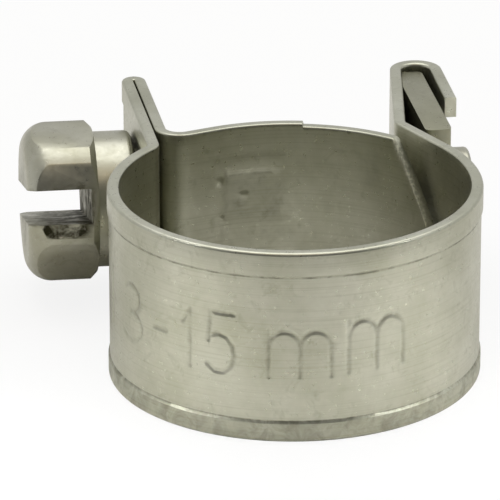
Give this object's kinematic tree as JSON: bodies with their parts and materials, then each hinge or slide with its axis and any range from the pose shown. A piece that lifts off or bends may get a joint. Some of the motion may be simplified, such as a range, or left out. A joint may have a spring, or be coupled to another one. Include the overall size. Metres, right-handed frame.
{
  "type": "nut-and-bolt ear hose clamp",
  "caption": "Small hose clamp: a folded steel band with two ears, drawn together by a slotted hexagon screw and a flat nut.",
  "frame": {"origin": "centre of the bore, at the middle of the band's width", "axes": "+Z along the bore, up; +Y towards the ears; +X from the screw's head towards its tip"},
  "size_m": [0.0216, 0.0249, 0.009],
  "materials": {
    "band_steel": "satin",
    "screw_steel": "satin",
    "nut_steel": "satin"
  },
  "bodies": {
    "clamp": {"band": "band_steel", "nut": "nut_steel"},
    "screw": {"screw": "screw_steel"}
  },
  "joints": [
    {"name": "screw_turn", "type": "hinge", "parent": "clamp", "child": "screw", "pos_m": [0.00632, 0.0116, 0], "axis": [0.9923, 0.1236, 0], "continuous": true}
  ]
}
